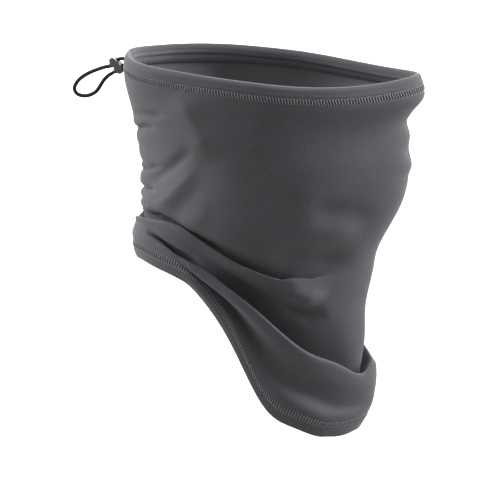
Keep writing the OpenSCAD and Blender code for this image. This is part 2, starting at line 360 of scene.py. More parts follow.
FABRIC_COLOUR = (0.0355, 0.0345, 0.0395)
FLEECE_COLOUR = (0.052, 0.050, 0.057)
# the top hem's inner layer: the same knit as the face, painted about twice as light to make up for the shade
# inside the hem
PAINTED_LIGHT_HEM_COLOUR = (0.070, 0.068, 0.077)
THREAD_COLOUR = (0.105, 0.105, 0.112)
CORD_COLOUR = (0.012, 0.012, 0.014)
LOCK_COLOUR = (0.038, 0.038, 0.038)
BLACK_PLASTIC = (0.016, 0.016, 0.017)
SPRING_COLOUR = (0.55, 0.55, 0.56)

fabric = knit_material("softshell_face", FABRIC_COLOUR)
# a lighter copy of the softshell: painted light for the shaded inside of the top hem
painted_light_hem = knit_material("softshell_painted_light_hem", PAINTED_LIGHT_HEM_COLOUR)
fleece = fleece_material("softshell_fleece", FLEECE_COLOUR)
thread_look = thread_material("sewing_thread", THREAD_COLOUR)
inner_thread = thread_material("overlock_thread", scaled(THREAD_COLOUR, 0.7))
cord_look = thread_material("braided_elastic", CORD_COLOUR, specular=0.1, sheen=0.0)
lock_look = moulded_material("lock_acetal", LOCK_COLOUR, roughness=0.42, specular=0.5)
button_look = moulded_material("button_acetal", BLACK_PLASTIC, roughness=0.40, specular=0.5)
sleeve_look = moulded_material("sleeve_rubber", BLACK_PLASTIC, roughness=0.6, specular=0.35)
spring_look = wire_material("spring_wire", SPRING_COLOUR)

# ---- drawcord and its lock, in mm

CORD_D, LOOP_D = 2.5, 2.8      # the slack loop is thicker than the cord in the hem and the lock
CORD_STEP, CORD_SIDES = 0.35, 20
# cord from the slit to the end of the lock's sleeves, and the run in which it thickens after that
STUB_LENGTH, LOOP_EASE = 15.0, 3.0
STRAND_HIGH, STRAND_LOW = 1.2, -3.1     # heights of the two strands in the slit
EXIT_X, EXIT_Z = -104.6, -1.0           # where they come out of the hem
STRAND_SLOPE = math.radians(39)         # of the strands and of the lock, down and away from the hem
LOCK_CENTRE = np.array([-114.3, 0, -3])
LOCK_T, HALF_PITCH, SLEEVE_LEN = 4.5, 2.6, 3.0
SLEEVE_TIP = LOCK_T / 2 + SLEEVE_LEN
BRAID_PITCH, BRAID_RELIEF, CARRIERS = 3.0, 0.07, 8
BRAID_MIDDLE = 0.8     # part of the braid's wave that lies inside the nominal radius
strand_dir = np.array([-math.cos(STRAND_SLOPE), 0, -math.sin(STRAND_SLOPE)])
row_dir = np.array([math.sin(STRAND_SLOPE), 0, -math.cos(STRAND_SLOPE)])


def in_lock(s, w):
    """A point s along the strands and w across them from the lock's centre."""
    return LOCK_CENTRE + strand_dir * s + row_dir * w


stub_high = [[EXIT_X, 0, STRAND_HIGH], [-107.4, 0, STRAND_HIGH], [-109.6, 0, 1.5], [-111.8, 0, 1.5],
             in_lock(-LOCK_T / 2 - 1, -HALF_PITCH), in_lock(-LOCK_T / 2, -HALF_PITCH)]
stub_low = [[EXIT_X, 0, STRAND_LOW], [-107.2, 0, STRAND_LOW], [-109, 0, -2.9],
            in_lock(-LOCK_T / 2 - 0.6, HALF_PITCH), in_lock(-LOCK_T / 2, HALF_PITCH)]
loop_route = [in_lock(0, -HALF_PITCH), in_lock(SLEEVE_TIP, -HALF_PITCH), [-124, 0, -5.3], [-130.2, 0, -7.6],
              [-136.6, 0, -10.6], [-142.2, 0, -14.4], [-145.6, 0, -18.4], [-147, 0, -22.4],
              [-145.2, 0, -25.8], [-141, 0, -27.2], [-135.6, 0, -26.4], [-130.8, 0, -23.6],
              [-127.6, 0, -19.2], [-124.8, 0, -14.8], [-121.2, 0, -11.2], in_lock(SLEEVE_TIP, HALF_PITCH),
              in_lock(0, HALF_PITCH)]


def braid(turn, along):
    """Relief of a braided cover: two sets of strands that wind in opposite directions."""
    wind = 2 * math.pi * along / BRAID_PITCH
    one = np.abs(np.sin(turn * CARRIERS / 2 + wind))
    other = np.abs(np.sin(turn * CARRIERS / 2 - wind))
    return BRAID_RELIEF * (np.maximum(one, other) - BRAID_MIDDLE)


def loop_cover(turn, along):
    """The braid's relief, and the slack loop's greater thickness beyond the lock."""
    from_end = np.minimum(along, along.max() - along)
    return braid(turn, along) + (LOOP_D - CORD_D) / 2 * smooth((from_end - STUB_LENGTH) / LOOP_EASE)


def make_drawcord():
    """The free cord in one piece: out of the slit, through the lock, round the loop and back."""
    line = spline(stub_high + loop_route + stub_low[::-1], CORD_STEP)
    points, faces = tube_mesh(line, CORD_D / 2, CORD_SIDES, bulge=loop_cover)
    piece = link("drawcord", points * MM, faces, cord_look)
    length = np.linalg.norm(np.diff(line, axis=0), axis=1).sum() * MM
    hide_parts("drawcord_stubs", "drawcord_loop")
    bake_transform(piece)
    return piece, line, length


drawcord, cord_line, cord_length = make_drawcord()

WELD = 1e-6     # metres under which two corners are one
# under FLAT two faces are one, over SHARP the edge between them is rounded, over CREASED it shades as an edge
FLAT, SHARP, CREASED = math.radians(2), math.radians(35), math.radians(32)


def from_cad(node, name, material, edge, segments):
    """A copy of a CAD node's shape with its sharp edges rounded."""
    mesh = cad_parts[node].data.copy()
    obj = bpy.data.objects.new(name, mesh)
    scene.collection.objects.link(obj)
    work = bmesh.new()
    work.from_mesh(mesh)
    bmesh.ops.remove_doubles(work, verts=work.verts, dist=WELD)
    bmesh.ops.dissolve_limit(work, angle_limit=FLAT, verts=work.verts, edges=work.edges)
    sharp = [e for e in work.edges if len(e.link_faces) == 2 and e.calc_face_angle() > SHARP]
    bmesh.ops.bevel(work, geom=sharp, offset=edge, segments=segments, profile=0.5, affect="EDGES",
                    clamp_overlap=True)
    bmesh.ops.triangulate(work, faces=[f for f in work.faces if len(f.verts) > 4])
    work.to_mesh(mesh)
    work.free()
    mesh.materials.clear()
    mesh.materials.append(material)
    mesh.polygons.foreach_set("use_smooth", [True] * len(mesh.polygons))
    mesh.set_sharp_from_angle(angle=CREASED)
    return obj


# CAD node, name, material, width and steps of the rounded edges, slot, body
MOULDED = [
    ("lock_housing", "lock_housing_moulded", lock_look, 0.0004, 3, "lock_plastic", "cord_lock"),
    ("lock_plunger", "lock_button_moulded", button_look, 0.00025, 2, "button_plastic", "lock_button"),
    ("lock_sleeves", "lock_sleeves_moulded", sleeve_look, 0.00018, 2, "sleeve_rubber", "cord_lock")]
lock_pieces = [place(from_cad(node, name, look, edge, steps), body, node)
               for node, name, look, edge, steps, slot, body in MOULDED]
WIRE_R, COIL_R, COILS = 0.14, 0.6, 6
COIL_STEPS, WIRE_SIDES = 24, 8


def make_spring():
    low, high = (corner.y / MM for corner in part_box("lock_spring"))
    a = np.linspace(0, 2 * math.pi * COILS, COIL_STEPS * COILS)
    line = (in_lock(0, 0)[None] + strand_dir[None] * (COIL_R * np.cos(a))[:, None]
            + row_dir[None] * (COIL_R * np.sin(a))[:, None])
    line[:, 1] = low + WIRE_R + (high - low - 2 * WIRE_R) * a / a[-1]
    points, faces = tube_mesh(line, WIRE_R, WIRE_SIDES)
    spring = place(link("lock_spring_wire", points * MM, faces, spring_look), "cord_lock",
                   "lock_spring")
    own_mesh(spring)
    return spring


spring = make_spring()

# ---- the cloth, in mm

RIM_DEPTH, RIM_WIDTH = 214.0, 122.0
RISE_BACK, RISE_FRONT = 6.0, 3.0
DROP_BACK, DROP_FRONT = 148.0, 262.0
FABRIC_T = 1.2
TOP_HEM, BOTTOM_HEM = 10.4, 13.0
CHANNEL = 3.4      # free width for the drawcord in the top hem
RIM_ARCH = 3.6     # height of the folded edge over the top hem's channel
# degrees at the back and at the front in which a fully late ring doesn't slope
WAIT_BACK, WAIT_FRONT = 64.0, 40.0
# The cloth runs through a stack of rings. For each: back depth share, back drop share, front depth share,
# front drop share, width share, lateness of the slope, fullness of the front, rows of points to the next
STATIONS = [
    (1.000, 0.000, 1.000, 0.000, 1.000, 0.00, 0.0, 12),     # rim
    (1.004, 0.115, 1.020, 0.062, 1.012, 0.00, -0.05, 22),   # nose
    (0.936, 0.330, 0.914, 0.130, 1.000, 0.00, -0.20, 24),   # upper lip
    (0.893, 0.520, 0.930, 0.240, 0.985, 0.00, -0.22, 22),   # chin
    (0.896, 0.650, 0.885, 0.350, 0.970, 0.10, -0.10, 18),   # throat
    (0.898, 0.722, 0.712, 0.495, 0.915, 0.22, 0.4, 12),     # neck
    (0.870, 0.790, 0.632, 0.568, 0.740, 0.30, 0.9, 12),     # valley behind the first fold
    (0.930, 0.765, 0.642, 0.553, 0.880, 0.30, 0.9, 18),     # crest of the first fold
    (0.935, 0.795, 0.636, 0.650, 0.740, 0.45, 1.0, 20),     # band below the first fold
    (0.905, 0.820, 0.630, 0.750, 0.610, 0.60, 1.0, 14),     # where the band goes behind the cowl
    (0.885, 0.875, 0.602, 0.865, 0.550, 0.62, 1.0, 14),     # bottom of the pocket behind the cowl
    (0.940, 0.845, 0.698, 0.825, 0.905, 0.68, 0.3, 8),      # crest of the cowl
    (0.955, 0.870, 0.712, 0.853, 0.880, 0.75, 0.3, 12),     # outside of the cowl
    (0.950, 0.910, 0.690, 0.922, 0.735, 0.86, 0.3, 12),     # hollow of the cowl
    (0.945, 0.950, 0.672, 0.946, 0.895, 0.95, 0.3, 10),     # bottom hem's stitching
    (0.925, 1.000, 0.600, 1.000, 0.845, 1.00, 0.3, 0)]      # bottom edge
(RIM, NOSE, LIP, CHIN, THROAT, NECK, VALLEY_A, CREST_A, BAND, TUCK_B, POCKET_B, CREST_B, OUTSIDE, HOLLOW,
 STITCHING, EDGE) = range(len(STATIONS))
FOLD_SAGS = [(0, 16, -6.5), (55, 16, 5.0), (91, 15, -3.0), (114, 22, -9.0)]
POCKET_SAGS = [(55, 18, -4.0), (100, 20, 4.0), (140, 14, 5.0), (158, 12, -3.0)]
# How a ring hangs above (or, below 0, beneath) its even slope: degrees from the back, spread, height
SAGS = {
    RIM: [(0, 20, 2.5), (122, 38, -5.2)],
    NOSE: [(0, 20, 1.5), (122, 40, -3.0)],
    VALLEY_A: FOLD_SAGS,
    CREST_A: FOLD_SAGS,
    BAND: [(0, 18, -4.0), (55, 14, -2.0), (110, 22, -3.0)],
    TUCK_B: POCKET_SAGS,
    POCKET_B: POCKET_SAGS,
    CREST_B: [(58, 18, -4.5), (100, 20, 5.0), (140, 14, 5.0), (158, 12, -3.5), (180, 14, 2.0)],
    OUTSIDE: [(28, 20, 1.5), (70, 16, -4.0), (106, 18, 2.0), (140, 14, 2.5), (158, 14, -2.0)],
    HOLLOW: [(28, 20, 2.5), (74, 14, -5.0), (106, 16, -13.0)],
    STITCHING: [(28, 20, 3.0), (78, 15, -9.5), (104, 17, -18.6), (180, 22, 1.0)],
    EDGE: [(28, 20, 4.2), (78, 16, -9.6), (104, 17, -27.2), (136, 9, 0.6), (152, 12, -1.6), (180, 22, 0.4)]}
# The same on the far side only, where the angle round from the back is over 180
FAR_SAGS = {TUCK_B: [(208, 18, 6.0)], POCKET_B: [(208, 18, 6.0)], CREST_B: [(208, 18, 8.0)],
            OUTSIDE: [(208, 18, 6.0)], HOLLOW: [(208, 18, 2.0)]}
# How far a ring is drawn in towards the middle: degrees from the back, spread, share
TUCKS = {NECK: (48, 24, 0.09), VALLEY_A: (48, 26, 0.13), CREST_A: (48, 24, 0.02), BAND: (60, 30, -0.14),
         TUCK_B: (62, 26, -0.24), POCKET_B: (60, 26, -0.20), CREST_B: (54, 18, 0.05),
         HOLLOW: (93, 23, 0.15), STITCHING: (98, 22, 0.17), EDGE: (100, 24, 0.18)}
# How much fuller (or, below 0, more pointed) than an ellipse a ring is behind the middle
BACK_FULLNESS = {NOSE: 0.0, LIP: -0.25, CHIN: -0.32, THROAT: -0.22, NECK: -0.1}
EGG_BACK = 0.10      # the other rings' fullness behind the middle
EGG_FRONT = 0.37     # how much narrower than an ellipse a ring is before the middle
# A full front is mostly a lens, with a little of a blunt arc: share of the lens, and the powers of the two
LENS_SHARE, LENS_POWER, BLUNT_POWER = 0.86, 2.5, 20
MIN_GAP = 0.3        # least distance between two rings that a curve through them reckons with
# degrees from the back, and how many more it takes: the first fold dies out towards the front, the cowl
# starts away from the back, and its outside is hollow only where it is wide
FOLD_END, COWL_START, COWL_HOLLOW = (118, 26), (34, 22), (55, 40)
COWL_PINCH = (75, 9, 0.8)      # where the cowl is pinched flat: degrees from the back, spread, share
COLUMNS = 360
FRONT = COLUMNS // 2
column_angle = np.arange(COLUMNS + 1) * 360.0 / COLUMNS
from_back = np.minimum(column_angle, 360 - column_angle)


def ring(index):
    """The ring of a station: one point for each column, from the centre back round the near side."""
    back, back_drop, front, front_drop, width, late, full = STATIONS[index][:7]
    back_x, front_x = -RIM_DEPTH / 2 * back, RIM_DEPTH / 2 * front
    a = from_back
    t = smooth((a - WAIT_BACK * late) / (180 - (WAIT_BACK + WAIT_FRONT) * late))
    back_z, front_z = RISE_BACK - DROP_BACK * back_drop, RISE_FRONT - DROP_FRONT * front_drop
    z = back_z + (front_z - back_z) * t
    for angle, spread, height in SAGS.get(index, ()):
        z = z + height * bell(a - angle, spread)
    for angle, spread, height in FAR_SAGS.get(index, ()):
        z = z + height * bell(column_angle - angle, spread)
    mid, half = (back_x + front_x) / 2, (front_x - back_x) / 2
    turn = np.radians(column_angle)
    u = -np.cos(turn)
    pointed = np.sin(turn) * (1 - EGG_FRONT * u * u)
    lens, blunt = 1 - np.abs(u) ** LENS_POWER, np.sqrt(1 - u ** BLUNT_POWER)
    fuller = np.sign(np.sin(turn)) * (LENS_SHARE * lens + (1 - LENS_SHARE) * blunt)
    behind = np.sin(turn) * (1 + BACK_FULLNESS.get(index, EGG_BACK) * u * u)
    y = np.where(u > 0, pointed + (fuller - pointed) * full, behind)
    if index in TUCKS:
        angle, spread, share = TUCKS[index]
        y = y * (1 - share * bell(a - angle, spread))
    return np.stack([mid + half * u, -RIM_WIDTH / 2 * width * y, z], 1)


def through_rings(p, rows):
    """Rows of points on curves through a stack of rings, rows[i] of them from ring i; and each ring's row."""
    p = np.concatenate([[2 * p[0] - p[1]], p, [2 * p[-1] - p[-2]]])
    out, marks = [], []
    for i in range(1, len(p) - 2):
        four = p[i - 1:i + 3]
        gaps = np.maximum(np.linalg.norm(np.diff(four, axis=0), axis=-1, keepdims=True), MIN_GAP) ** 0.5
        t = np.concatenate([np.zeros_like(gaps[:1]), gaps.cumsum(0)])
        marks.append(len(out))
        out += [curve_point(four, t, t[1] + (t[2] - t[1]) * k / rows[i - 1]) for k in range(rows[i - 1])]
    marks.append(len(out))
    out.append(p[-2])
    return np.array(out), marks


def after(start, over):
    """0 up to an angle from the back, 1 from over degrees later."""
    return smooth((from_back - start) / over)


def flatten(rings, first, last, shares, keep):
    """Draw the rings between two others towards the straight line between those, where keep is low."""
    for i, share in zip(range(first + 1, last), shares):
        flat = rings[first] + (rings[last] - rings[first]) * share
        rings[i] = flat + (rings[i] - flat) * keep[:, None]


def build_wall():
    rings = [ring(i) for i in range(len(STATIONS))]
    rings[RIM] = rings[RIM] - [0, 0, RIM_ARCH]
    angle, spread, share = COWL_PINCH
    wide = 1 - share * bell(from_back - angle, spread)
    flatten(rings, NECK, BAND, (0.35, 0.5), 1 - after(*FOLD_END))
    flatten(rings, BAND, OUTSIDE, (0.3, 0.5, 0.7), after(*COWL_START) * wide)
    flatten(rings, OUTSIDE, STITCHING, (0.5,), after(*COWL_HOLLOW))
    return through_rings(np.array(rings), [station[7] for station in STATIONS[:-1]])


wall, station_row = build_wall()


def normals_of(grid):
    """Outward normals of a grid of rows and columns whose last column repeats the first."""
    along = np.roll(grid[:, :-1], -1, 1) - np.roll(grid[:, :-1], 1, 1)
    along = np.concatenate([along, along[:, :1]], 1)
    return unit(np.cross(np.gradient(grid, axis=0), along))


SIDE_BLEND = 12.0     # width of the strip down the middle where one side's folds give way to the other's


def stroke(grid, route, width, height, edge=None, side=-1, taper=0.35):
    """Height of a ridge (or valley, below 0) along a route in the side view, on one side.

    With an edge it is a crease of that rounding radius with broad flanks; without, it is soft all over.
    It fades in and out within the taper, a share of the route."""
    p = np.array(route, float)
    flat = grid[..., [0, 2]]
    lengths = np.linalg.norm(np.diff(p, axis=0), axis=1)
    total, run = lengths.sum(), 0.0
    best = np.full(flat.shape[:2], 1e9)
    share = np.zeros_like(best)
    for a, b, length in zip(p[:-1], p[1:], lengths):
        t = np.clip(((flat - a) @ (b - a)) / length ** 2, 0, 1)
        d = np.linalg.norm(flat - (a + t[..., None] * (b - a)), axis=-1)
        closer = d < best
        best = np.where(closer, d, best)
        share = np.where(closer, (run + t * length) / total, share)
        run += length
    ends = smooth(share / taper) * smooth((1 - share) / taper)
    on_side = smooth((grid[..., 1] * side) / SIDE_BLEND + 0.5)
    if edge:
        shape = np.exp(-(np.sqrt(best ** 2 + edge ** 2) - edge) / width)
    else:
        shape = bell(best, width)
    return height * ends * shape * on_side


# route in the side view (X, Z), width, height, and the rounding of a crease's edge
NEAR_FOLDS = [
    # the arris where the back turns into the flat of the side
    ([(-56, -4), (-51, -13), (-45, -24), (-40, -34), (-34, -46), (-28, -60)], 15, 3.4, 3.0),
    # diagonal fold at the back: a ridge between two valleys
    ([(-84, -103), (-64, -88), (-47, -70), (-36, -57)], 6.0, 2.4, 1.6),
    ([(-92, -86), (-78, -78), (-62, -66), (-46, -51), (-38, -49)], 4.5, -2.3, None),
    ([(-72, -106), (-60, -97), (-44, -82), (-34, -70)], 6.0, -1.0, None),
    ([(-60, -112), (-46, -104), (-28, -88)], 7.0, 1.2, None),
    # short creases from the back seam
    ([(-106, -37), (-93, -33), (-80, -30), (-62, -27)], 2.4, -2.0, None),
    ([(-106, -49), (-97, -46), (-87, -41), (-80, -40), (-74, -42)], 1.9, -2.8, None),
    ([(-104, -80), (-94, -77), (-79, -70), (-70, -67)], 2.0, -1.6, None),
    ([(-104, -92), (-94, -89), (-84, -87), (-75, -86)], 1.8, -2.6, None),
    ([(-103, -95), (-94, -98), (-85, -100)], 1.8, -2.2, None),
    # broad undulations down the side
    ([(-20, -66), (8, -76), (38, -88)], 13, -1.4, None),
    ([(24, -102), (48, -106), (74, -108)], 8, 1.6, None),
    ([(2, -122), (24, -126), (44, -128), (70, -135)], 10, -4.5, None),
    # the rounded end of the first fold, and the hollow beneath it
    ([(16, -146), (28, -150), (38, -156), (42, -163)], 7.5, 4.8, None),
    ([(14, -158), (22, -166), (34, -170), (48, -168)], 4.8, -3.6, None),
    # hollow behind the front seam
    ([(38, -88), (62, -93), (84, -98)], 7.5, -2.0, None)]
FAR_FOLDS = [
    ([(-58, -6), (-50, -22), (-38, -40), (-30, -58)], 16, 3.6, 3.0),
    ([(-86, -92), (-60, -76), (-30, -58)], 8, 3.0, 2.0),
    ([(-82, -76), (-60, -64), (-40, -52)], 7, -2.2, None),
    ([(-70, -100), (-40, -86), (-8, -72)], 8, -2.4, None),
    ([(10, -92), (50, -84), (90, -78)], 10, -2.0, None),
    ([(20, -146), (44, -140), (60, -132)], 8, 2.6, None),
    ([(6, -128), (30, -124), (64, -118)], 9, -2.6, None)]
# where the wall dips behind the back end of the first fold; it sets in within DIP_ROWS above the valley
FOLD_DIP = [(-96, -107), (-74, -106), (-56, -112), (-38, -121), (-16, -130)]
DIP_WIDTH, DIP_HEIGHT, DIP_TAPER, DIP_ROWS = 3.8, -5.2, 0.25, 4
# puckers where the back seam is drawn up: height on the seam, depth, reach in degrees, mm of drop a degree
BACK_PUCKERS = [(-38, 0.9, 16, 0.05), (-49, 1.6, 13, -0.10), (-59, 0.8, 11, 0.05), (-70, 2.2, 13, 0.15),
                (-78, 0.8, 9, -0.10), (-90, 2.2, 13, 0.10), (-97, 1.4, 11, 0.10), (-103, 1.6, 12, 0.10)]
# degrees at full depth, and the rounding and the width of their creases
PUCKER_FROM, PUCKER_SHARP, PUCKER_FALL = 12, 0.6, 2.4
# the back bulges under the puckers and the front seam ripples; reaches in degrees, TOP and LOW are heights
BULGE_HEIGHT, BULGE_REACH, BULGE_TOP, BULGE_LOW, BULGE_EASE = 1.6, 18.0, -30, -110, 8
RIPPLE_HEIGHT, RIPPLE_REACH, RIPPLE_LENGTH, RIPPLE_START = 1.3, 13.0, 3.55, 0.9
RIPPLE_TOP, RIPPLE_TOP_EASE, RIPPLE_LOW, RIPPLE_LOW_EASE = -28, 6, -78, 14
BACK_GROOVE, FRONT_GROOVE, GROOVE_HALF_W = 0.7, 0.35, 1.6
HEM_STITCH, EDGE_STITCH = 6.6, 10.0     # from the rim and the bottom edge to the middle of the stitching
# swellings and grooves along the hems: distance from the edge, spread, height
TOP_HEM_RELIEF = [(2.5, 2.2, 0.4), (HEM_STITCH, 1.9, -0.6)]
BOTTOM_HEM_RELIEF = [(4.5, 4.0, 0.3), (EDGE_STITCH, 1.9, -0.6)]
RELIEF_EASE = 3.0     # rows from the rim in which the relief sets in


def add_relief(grid):
    """The rings' wall with its folds, puckers, seams and hems."""
    n = normals_of(grid)
    z = grid[..., 2]
    rows = np.arange(grid.shape[0])[:, None]
    h = np.zeros(z.shape)
    for side, folds in ((-1, NEAR_FOLDS), (1, FAR_FOLDS)):
        for route, width, height, edge in folds:
            h += stroke(grid, route, width, height, edge, side)
    above_fold = smooth((station_row[VALLEY_A] - rows) / DIP_ROWS)
    h += stroke(grid, FOLD_DIP, DIP_WIDTH, DIP_HEIGHT, taper=DIP_TAPER) * above_fold
    a = from_back[None, :]
    bulging = smooth((BULGE_TOP - z) / BULGE_EASE) * smooth((z - BULGE_LOW) / BULGE_EASE)
    h += BULGE_HEIGHT * bell(a, BULGE_REACH) * bulging
    for height, deep, reach, slope in BACK_PUCKERS:
        off = np.sqrt((z - height + slope * a) ** 2 + PUCKER_SHARP ** 2) - PUCKER_SHARP
        h -= deep * np.exp(-off / PUCKER_FALL) * bell(np.maximum(a - PUCKER_FROM, 0), reach)
    rippling = smooth((RIPPLE_TOP - z) / RIPPLE_TOP_EASE) * smooth((z - RIPPLE_LOW) / RIPPLE_LOW_EASE)
    ripple = RIPPLE_HEIGHT * np.sin(z / RIPPLE_LENGTH + RIPPLE_START)
    h += bell(180 - a, RIPPLE_REACH) * rippling * ripple
    for groove, from_seam in ((BACK_GROOVE, a), (FRONT_GROOVE, 180 - a)):
        h -= groove * bell(np.radians(from_seam) * RIM_WIDTH / 2, GROOVE_HALF_W)
    depth = run_along(grid)
    for from_edge, relief in ((depth, TOP_HEM_RELIEF), (depth[-1:] - depth, BOTTOM_HEM_RELIEF)):
        for middle, spread, height in relief:
            h += height * bell(from_edge - middle, spread)
    return grid + n * (h * smooth(rows / RELIEF_EASE))[..., None]


wall = add_relief(wall)
wall_normal = normals_of(wall)
depth_down = run_along(wall)
depth_up = depth_down[-1:] - depth_down
mean_depth = depth_down.mean(1)
LAYERS = 1.35       # between the middles of two layers sewn together
# share of its thickness that a pressed raw edge keeps, and the run from there to full thickness
RAW_SHARE, RAW_EASE = 0.35, 4.0
# depth where the turned-in layer leaves the channel, and the run in which it comes up to the wall
HEM_CLOSE, HEM_CLOSE_EASE = 1.2, 8.0
RIM_POINT = 1.3     # power that makes the rim's arch pointed, where 1 is round
RIM_STEPS, EDGE_STEPS = 13, 7
SLIT_TOP, SLIT_LOW, SLIT_HALF_W = 3.5, -5.4, 1.75
SLIT_COLUMNS = 5    # columns on each side that make room for the slit
SLIT_MIDDLE, SLIT_HALF_H = (SLIT_TOP + SLIT_LOW) / 2, (SLIT_TOP - SLIT_LOW) / 2


def slit_spread(z):
    """Half the gap between the slit's edges at a height."""
    return SLIT_HALF_W * np.sqrt(np.clip(1 - ((z - SLIT_MIDDLE) / SLIT_HALF_H) ** 2, 0, 1))


def raw_edge(away):
    """How much closer the turned-in layer lies to the wall near its pressed raw edge."""
    return FABRIC_T * (1 - RAW_SHARE) / 2 * (1 - smooth(away / RAW_EASE))


def cloth_sheet():
    """The whole cut cloth: up inside the top hem, over the rim, down the wall, up inside the bottom hem."""
    n = wall_normal
    gap = CHANNEL + FABRIC_T
    rows = range(len(wall))
    inside = []
    for i in [i for i in rows if mean_depth[i] <= TOP_HEM][::-1]:
        close = smooth((mean_depth[i] - HEM_CLOSE) / HEM_CLOSE_EASE)
        inside.append(wall[i] - n[i] * (gap - (gap - LAYERS) * close - raw_edge(TOP_HEM - mean_depth[i])))
    top, inner_top = wall[0], inside[-1]
    mid, half = (top + inner_top) / 2, (top - inner_top) / 2
    up = np.array([0, 0, 1.0])
    turn = [mid + half * math.copysign(abs(math.cos(t)) ** RIM_POINT, math.cos(t))
            + up * RIM_ARCH * math.sin(t) ** RIM_POINT for t in np.linspace(math.pi, 0, RIM_STEPS)[1:-1]]
    outside = wall.copy()
    for i in rows:
        apart = slit_spread(outside[i, 0, 2])
        for j in range(SLIT_COLUMNS):
            outside[i, j, 1] -= apart * (1 - j / SLIT_COLUMNS)
            outside[i, -1 - j, 1] += apart * (1 - j / SLIT_COLUMNS)
    edge_down = unit(wall[-1] - wall[-3])
    low_mid = wall[-1] - n[-1] * LAYERS / 2
    bottom = [low_mid + n[-1] * LAYERS / 2 * math.cos(t) + edge_down * LAYERS / 2 * math.sin(t)
              for t in np.linspace(0, math.pi, EDGE_STEPS)[1:-1]]
    to_edge = mean_depth[-1] - mean_depth
    inner_low = [wall[i] - n[i] * (LAYERS - raw_edge(BOTTOM_HEM - to_edge[i]))
                 for i in rows[::-1] if to_edge[i] <= BOTTOM_HEM]
    return np.array(inside + turn + list(outside) + bottom + inner_low)


sheet = cloth_sheet()
# rows of faces in the top hem's inner layer
hem_quads = int((mean_depth <= TOP_HEM).sum()) - 1
sheet_normal = normals_of(sheet)
sheet_run = run_along(sheet).mean(1)
pressed = RAW_SHARE + (1 - RAW_SHARE) * smooth(np.minimum(sheet_run, sheet_run[-1] - sheet_run) / RAW_EASE)


def panel(name, first, last, node):
    """One half of the cloth as a closed shell: softshell outside, fleece inside, and on the top hem's inner
    layer a lighter copy of the softshell, painted light against the shade there.
    """
    grid, n = sheet[:, first:last + 1], sheet_normal[:, first:last + 1]
    rows, cols = grid.shape[:2]
    thick = FABRIC_T / 2 * pressed[:, None, None]
    outer, inner = grid + n * thick, grid - n * thick
    points = np.concatenate([outer.reshape(-1, 3), inner.reshape(-1, 3)])
    index = np.arange(rows * cols).reshape(rows, cols)
    a, b, c, d = index[:-1, :-1], index[:-1, 1:], index[1:, 1:], index[1:, :-1]
    face_out = np.stack([a, d, c, b], -1).reshape(-1, 4)
    face_in = np.stack([a, b, c, d], -1).reshape(-1, 4) + rows * cols
    rim = ([(index[0, j], index[0, j + 1]) for j in range(cols - 1)]
           + [(index[i, -1], index[i + 1, -1]) for i in range(rows - 1)]
           + [(index[-1, j + 1], index[-1, j]) for j in range(cols - 2, -1, -1)]
           + [(index[i + 1, 0], index[i, 0]) for i in range(rows - 2, -1, -1)])
    k = rows * cols
    side = [(p, q, q + k, p + k) for p, q in rim]
    faces = np.vstack([face_out, face_in, np.array(side)])
    obj = link(name, points * MM, faces.tolist(), fabric)
    obj.data.materials.append(fleece)
    obj.data.materials.append(painted_light_hem)
    which = np.zeros(len(faces), int)     # an index into those materials for each face
    which[len(face_out):len(face_out) + len(face_in)] = 1
    # the top hem's inner layer takes the painted-light copy of the softshell
    which[:hem_quads * (cols - 1)] = 2
    obj.data.polygons.foreach_set("material_index", which)
    across = run_along(sheet[len(sheet) // 3])
    flat = np.stack([np.broadcast_to(across[first:last + 1], (rows, cols)), run_along(grid),
                     np.zeros((rows, cols))], -1)
    at = obj.data.attributes.new("cloth_mm", "FLOAT_VECTOR", "POINT")
    at.data.foreach_set("vector", np.concatenate([flat.reshape(-1, 3)] * 2).ravel().astype(np.float32))
    return place(obj, "garment", node)


right = panel("right_panel_cloth", 0, FRONT, "right_panel")
left = panel("left_panel_cloth", FRONT, COLUMNS, "left_panel")

# ---- sewing, in mm

STITCH_PITCH, STITCH_H, THREAD_R = 2.1, 4.7, 0.36
THREAD_SIDES, STITCH_RINGS, FINE_SIDES, FINE_RINGS = 6, 7, 5, 5
STITCH_SINK = 1.2       # thread radii that a stitch's ends lie in the cloth
LADDER_LEAN = 0.35      # share of a stitch that the ladder's rungs lean, like the overlock's loops
ROW_GAP = 0.08          # share of a stitch left free at each end along a needle row
SLIT_FREE = 3.2         # columns on each side of the back seam that the slit's own stitches take up
# rise out of the cloth and radius of the threads: the ladder's rungs, the needle rows, the loops inside
RUNG, NEEDLE = (0.30, THREAD_R), (-0.05, THREAD_R * 0.5)
LOOP_BACK, LOOP_ON = (0.05, THREAD_R * 0.8), (0.1, THREAD_R * 0.8)


def tubes(centre, up, radius, sides):
    """Points and faces of many small tubes: centre is tubes x rings x 3, up one direction for each tube."""
    count, rings = centre.shape[:2]
    along = unit(np.gradient(centre, axis=1))
    over = unit(np.broadcast_to(up[:, None], centre.shape))
    across = unit(np.cross(along, over))
    over = np.cross(across, along)
    turn = 2 * math.pi * np.arange(sides) / sides
    points = (centre[:, :, None] + radius * (over[:, :, None] * np.cos(turn)[None, None, :, None]
                                             + across[:, :, None] * np.sin(turn)[None, None, :, None]))
    index = np.arange(count * rings * sides).reshape(count, rings, sides)
    a, b = index[:, :-1], index[:, 1:]
    quads = np.stack([a, np.roll(a, -1, 2), np.roll(b, -1, 2), b], -1).reshape(-1, 4).tolist()
    caps = index[:, 0, ::-1].tolist() + index[:, -1].tolist()
    return points.reshape(-1, 3), quads + caps


def stitches(start, end, up, rise, radius, fine=False):
    """Threads from start to end that rise out of the cloth between; fine ones have fewer rings and sides."""
    t = np.linspace(0, 1, FINE_RINGS if fine else STITCH_RINGS)[None, :, None]
    lift = rise * (1 - (2 * t - 1) ** 4) - THREAD_R * STITCH_SINK * (2 * t - 1) ** 6
    middles = start[:, None] + (end - start)[:, None] * t + up[:, None] * lift
    return tubes(middles, up, radius, FINE_SIDES if fine else THREAD_SIDES)


